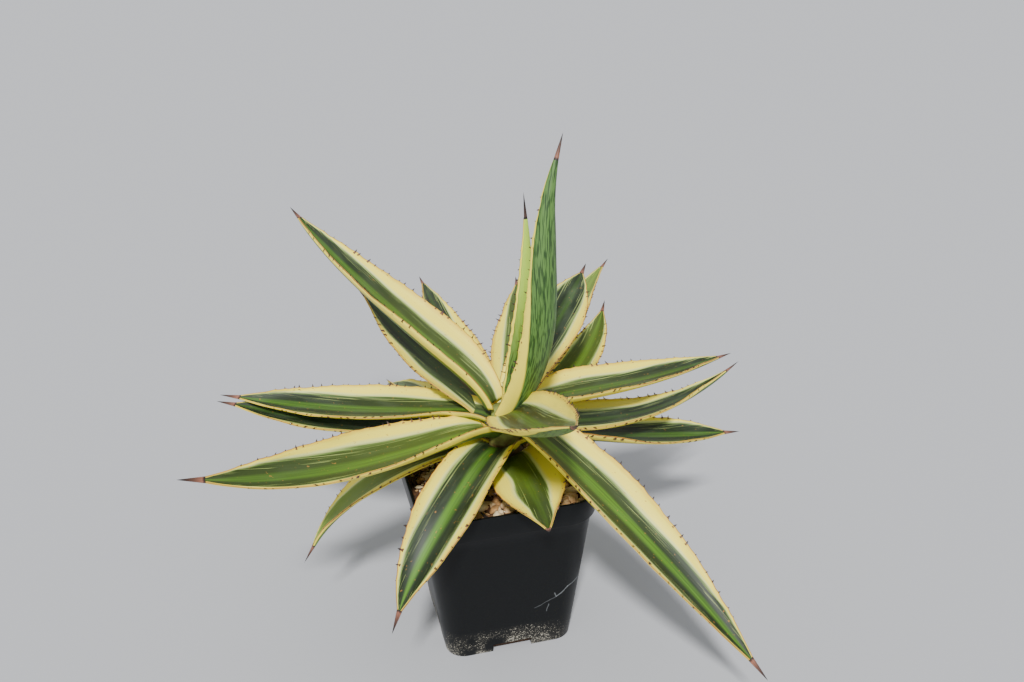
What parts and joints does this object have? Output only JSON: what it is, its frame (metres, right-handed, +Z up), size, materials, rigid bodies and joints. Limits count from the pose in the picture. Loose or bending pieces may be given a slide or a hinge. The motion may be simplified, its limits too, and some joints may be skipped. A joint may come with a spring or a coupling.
{
  "type": "potted agave plant",
  "caption": "Small rosette agave with channelled, toothed leaves striped cream and green, in a square black nursery pot filled with gritty soil.",
  "frame": {"origin": "middle of the pot's flat underside", "axes": "+Z up; the pot's sides face along X and Y, and -Y is the side seen from the front"},
  "size_m": [0.2889, 0.2894, 0.2574],
  "materials": {
    "pot": "satin black moulded polypropylene",
    "soil": "dry pumice and grit",
    "stem": "pale fibrous stem",
    "leaf": "satin waxy leaf, cream and green stripes"
  },
  "bodies": {
    "root": {"pot": "pot", "soil": "soil", "stem": "stem", "central_spear": "leaf", "leaf_01": "leaf", "leaf_02": "leaf", "leaf_03": "leaf", "leaf_04": "leaf", "leaf_05": "leaf", "leaf_06": "leaf", "leaf_07": "leaf", "leaf_08": "leaf", "leaf_09": "leaf", "leaf_10": "leaf", "leaf_11": "leaf", "leaf_12": "leaf", "leaf_13": "leaf", "leaf_14": "leaf", "leaf_15": "leaf", "leaf_16": "leaf", "leaf_17": "leaf", "leaf_18": "leaf", "leaf_19": "leaf", "leaf_20": "leaf"}
  },
  "joints": []
}
